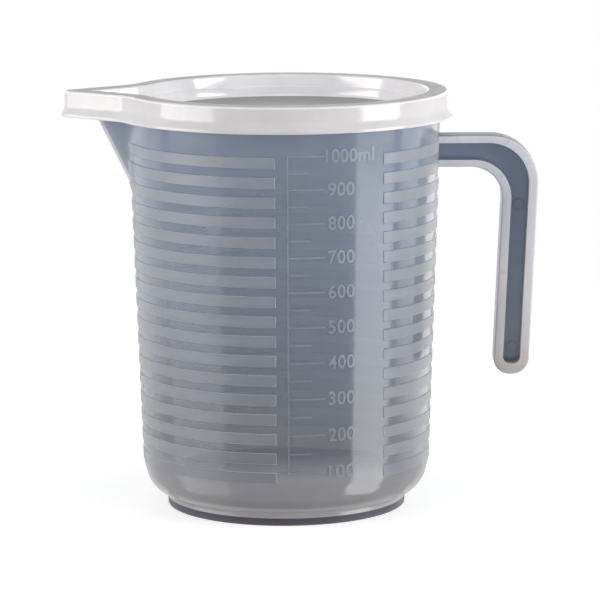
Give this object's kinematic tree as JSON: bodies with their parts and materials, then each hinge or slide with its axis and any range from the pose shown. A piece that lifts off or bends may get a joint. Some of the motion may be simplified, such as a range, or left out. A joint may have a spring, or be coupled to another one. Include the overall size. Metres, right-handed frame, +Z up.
{
  "type": "plastic measuring jug",
  "caption": "Translucent plastic measuring jug with a pouring beak, hook handle, raised bands, printed-style scale and a press-on lid with a stepped recess.",
  "frame": {"origin": "centre of the foot's underside, on the axis of the bowl", "axes": "+Z up along the bowl's axis, +X towards the handle, -X towards the beak, and the measuring scale faces -Y"},
  "size_m": [0.1677, 0.1192, 0.1468],
  "materials": {
    "jug_plastic": "thin natural polypropylene, milky and see-through, smooth with frosted bands",
    "lid_plastic": "white translucent polyethylene, smooth satin gloss"
  },
  "bodies": {
    "root": {"jug": "jug_plastic", "lid": "lid_plastic"}
  },
  "joints": []
}
